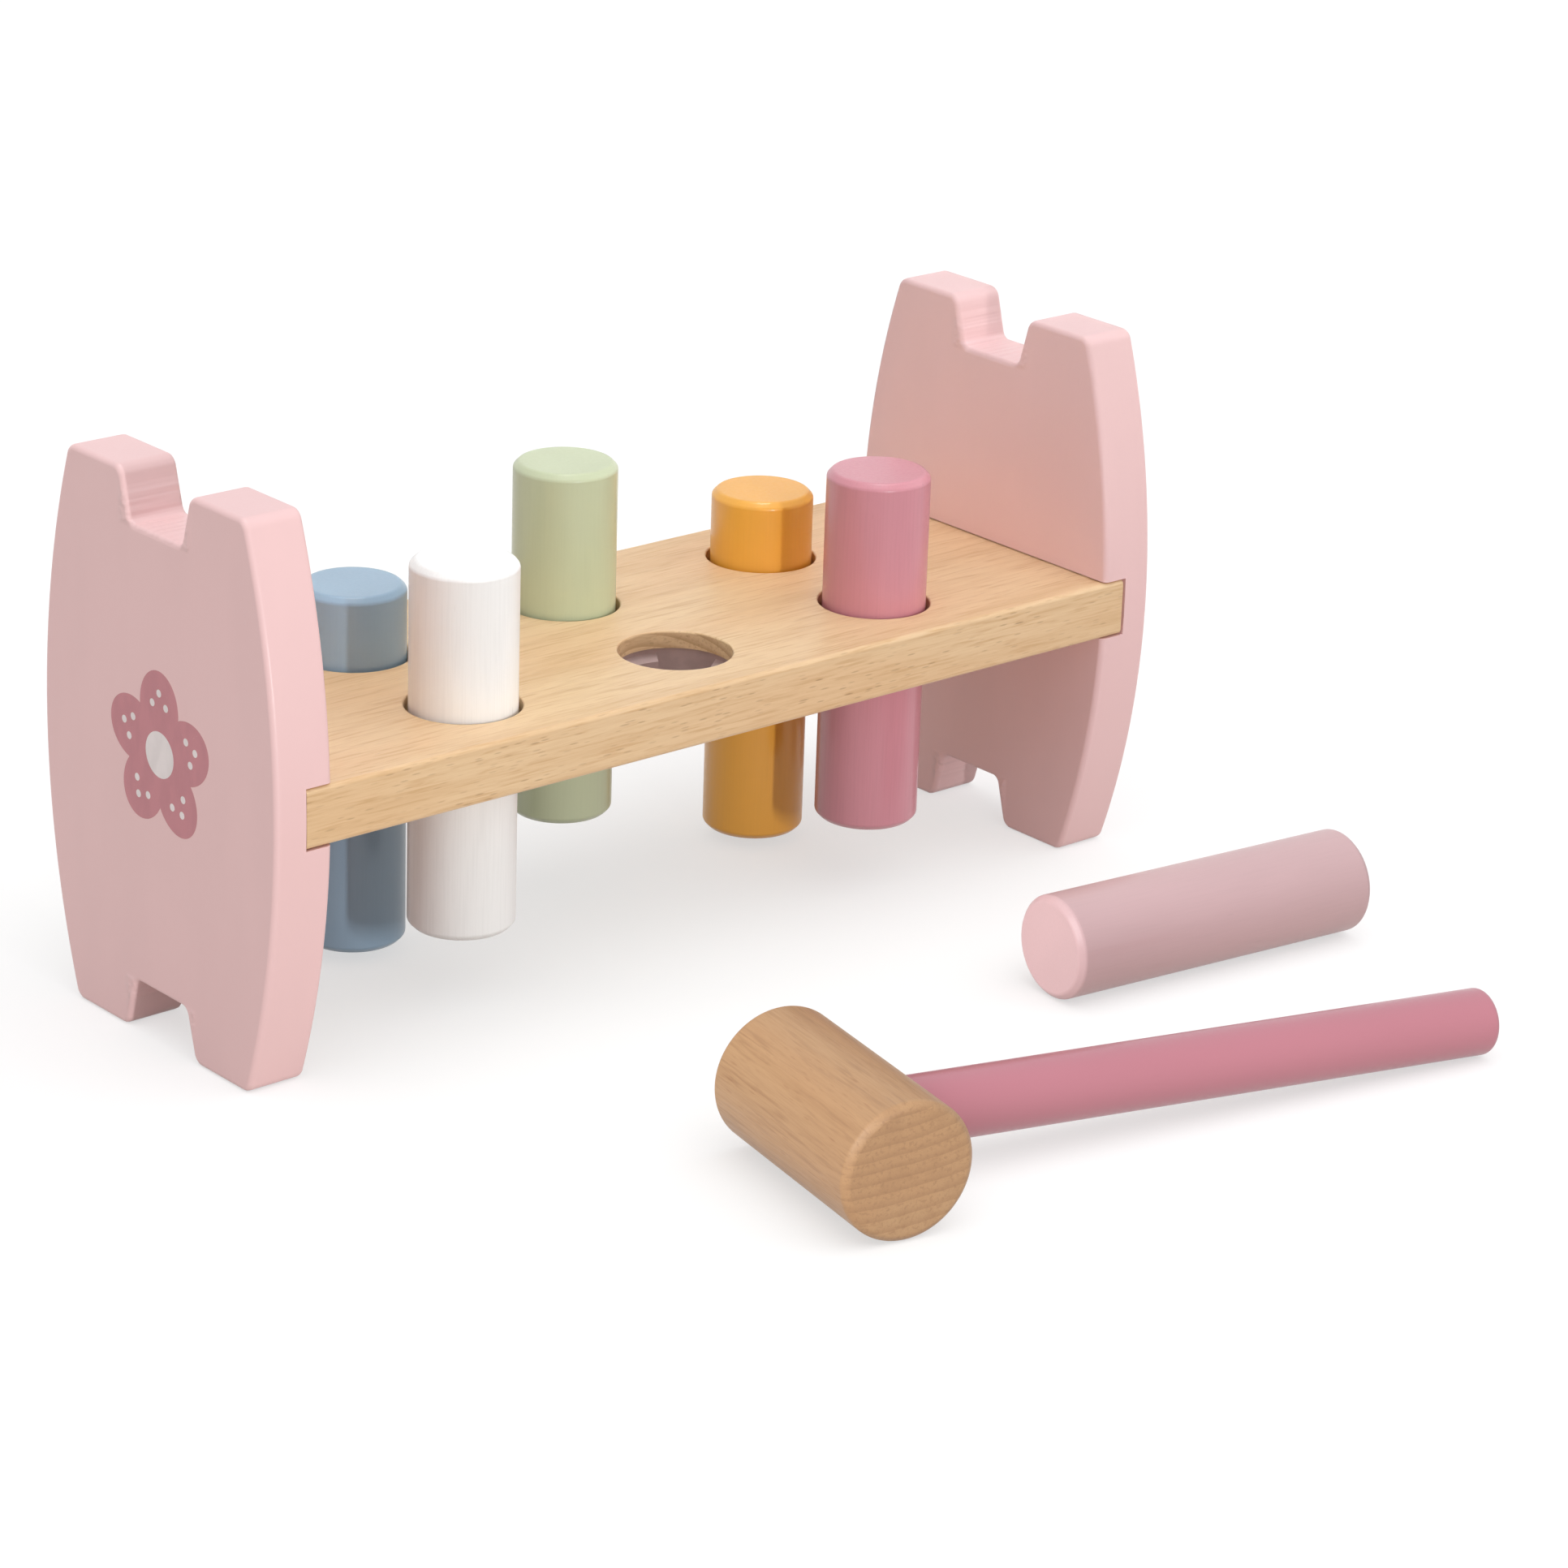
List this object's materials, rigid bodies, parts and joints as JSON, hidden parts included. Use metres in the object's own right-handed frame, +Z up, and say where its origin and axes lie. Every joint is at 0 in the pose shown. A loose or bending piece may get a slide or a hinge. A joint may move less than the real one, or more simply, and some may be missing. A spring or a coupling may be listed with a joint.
{
  "type": "peg pounding bench",
  "caption": "Wooden toy bench: a beech board with grip-lined peg holes between two notched, painted end panels, with round painted pegs to drive through it and a beech mallet.",
  "frame": {"origin": "on the floor, under the middle of the bench's four feet", "axes": "+X along the board to the right end panel, -Y to the front where the mallet lies, +Z up"},
  "size_m": [0.269, 0.2342, 0.133],
  "materials": {
    "panel_paint": "pale pink satin paint on board",
    "board_beech": "clear satin lacquer on beech",
    "dowel_beech": "bare beech",
    "ring_plastic": "frosted grey plastic",
    "blue_paint": "satin paint on turned beech",
    "white_paint": "satin paint on turned beech",
    "green_paint": "satin paint on turned beech",
    "orange_paint": "satin paint on turned beech",
    "mauve_paint": "satin paint on turned beech",
    "pink_paint": "satin paint on turned beech",
    "mallet_beech": "clear satin lacquer on beech",
    "handle_paint": "satin paint on turned beech"
  },
  "bodies": {
    "bench": {"left_end_panel": "panel_paint", "right_end_panel": "panel_paint", "bench_board": "board_beech", "left_dowels": "dowel_beech", "right_dowels": "dowel_beech", "front_left_grip_ring": "ring_plastic", "front_middle_grip_ring": "ring_plastic", "front_right_grip_ring": "ring_plastic", "back_left_grip_ring": "ring_plastic", "back_middle_grip_ring": "ring_plastic", "back_right_grip_ring": "ring_plastic"},
    "blue_peg": {"blue_peg": "blue_paint"},
    "white_peg": {"white_peg": "white_paint"},
    "green_peg": {"green_peg": "green_paint"},
    "orange_peg": {"orange_peg": "orange_paint"},
    "mauve_peg": {"mauve_peg": "mauve_paint"},
    "pink_peg": {"pink_peg": "pink_paint"},
    "mallet": {"mallet_head": "mallet_beech", "mallet_handle": "handle_paint"}
  },
  "joints": [
    {"name": "blue_peg_slide", "type": "slide", "parent": "bench", "child": "blue_peg", "axis": [0, 0, 1], "range_m": [-0.0025, 0.0772]},
    {"name": "white_peg_slide", "type": "slide", "parent": "bench", "child": "white_peg", "axis": [0, 0, 1], "range_m": [-0.0197, 0.06]},
    {"name": "green_peg_slide", "type": "slide", "parent": "bench", "child": "green_peg", "axis": [0, 0, 1], "range_m": [-0.0207, 0.059]},
    {"name": "orange_peg_slide", "type": "slide", "parent": "bench", "child": "orange_peg", "axis": [0, 0, 1], "range_m": [-0.0024, 0.0773]},
    {"name": "mauve_peg_slide", "type": "slide", "parent": "bench", "child": "mauve_peg", "axis": [0, 0, 1], "range_m": [-0.0181, 0.0616]},
    {"name": "pink_peg_lift", "type": "slide", "parent": "bench", "child": "pink_peg", "axis": [0, 0, 1], "range_m": [0, 0.15]},
    {"name": "mallet_lift", "type": "slide", "parent": "bench", "child": "mallet", "axis": [0, 0, 1], "range_m": [0, 0.15]}
  ]
}
